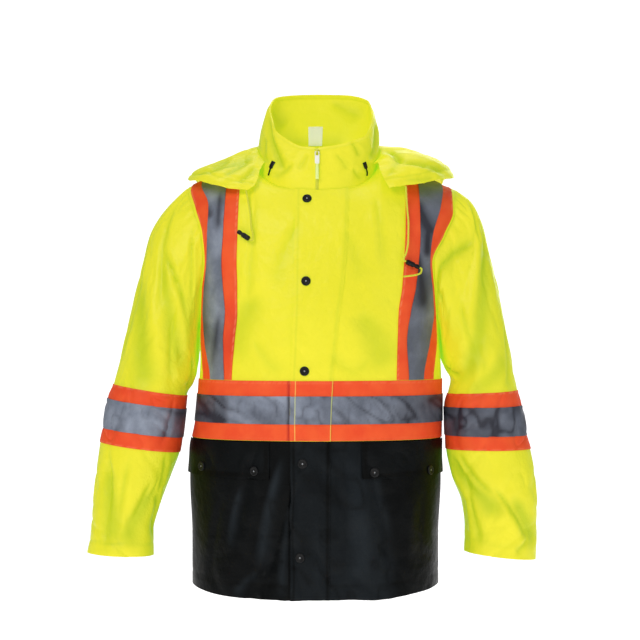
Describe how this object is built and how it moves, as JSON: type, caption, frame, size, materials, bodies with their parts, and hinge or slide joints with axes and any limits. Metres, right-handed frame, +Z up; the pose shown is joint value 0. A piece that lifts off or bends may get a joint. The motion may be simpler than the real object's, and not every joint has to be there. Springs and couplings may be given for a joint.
{
  "type": "hi-vis hooded rain jacket",
  "caption": "Hooded high-visibility rain jacket, yellow over black, with orange and silver tapes, storm flap with snaps and laid-back hood.",
  "frame": {"origin": "middle of the neck opening at shoulder height, where the wearer's shoulders carry the jacket", "axes": "+X the wearer's left, -Y forward, +Z up"},
  "size_m": [0.7843, 0.3617, 0.878],
  "materials": {
    "yellow_cloth": "coated polyester, satin",
    "black_cloth": "coated polyester, satin",
    "orange_tape": "woven, matt",
    "silver_tape": "reflective glass bead",
    "black_plastic": "moulded",
    "yellow_cord": "braided",
    "zip_plastic": "moulded and woven",
    "white_label": "woven, matt"
  },
  "bodies": {
    "jacket": {"back": "yellow_cloth", "back_hem": "black_cloth", "brace_silver_left": "silver_tape", "brace_silver_right": "silver_tape", "brace_tape_left": "orange_tape", "brace_tape_right": "orange_tape", "collar": "yellow_cloth", "cord_lock_left": "black_plastic", "cord_lock_right": "black_plastic", "drawcord_left": "yellow_cord", "drawcord_left_end": "yellow_cord", "drawcord_right": "yellow_cord", "front_left": "yellow_cloth", "front_left_hem": "black_cloth", "front_right": "yellow_cloth", "front_right_hem": "black_cloth", "hood": "yellow_cloth", "hood_tab_left": "black_plastic", "hood_tab_right": "black_plastic", "neck_label": "white_label", "pocket_flap_left": "black_cloth", "pocket_flap_right": "black_cloth", "pocket_snap_left_inner": "black_plastic", "pocket_snap_left_outer": "black_plastic", "pocket_snap_right_inner": "black_plastic", "pocket_snap_right_outer": "black_plastic", "sleeve_left": "yellow_cloth", "sleeve_right": "yellow_cloth", "sleeve_silver_left": "silver_tape", "sleeve_silver_right": "silver_tape", "sleeve_tape_left": "orange_tape", "sleeve_tape_right": "orange_tape", "snap_1": "black_plastic", "snap_2": "black_plastic", "snap_3": "black_plastic", "snap_4": "black_plastic", "snap_5": "black_plastic", "storm_flap": "yellow_cloth", "storm_flap_hem": "black_cloth", "storm_flap_tape": "orange_tape", "storm_flap_tape_silver": "silver_tape", "waist_tape": "orange_tape", "waist_tape_silver": "silver_tape", "zip_chain": "zip_plastic", "zip_slider": "zip_plastic"},
    "pull": {"zip_pull_tab": "white_label", "zip_pull_tail": "yellow_cord"}
  },
  "joints": [
    {"name": "zip_pull_swing", "type": "hinge", "parent": "jacket", "child": "pull", "pos_m": [0, -0.0973, 0.02325], "axis": [-1, 0, 0], "range_deg": [0, 150]}
  ]
}
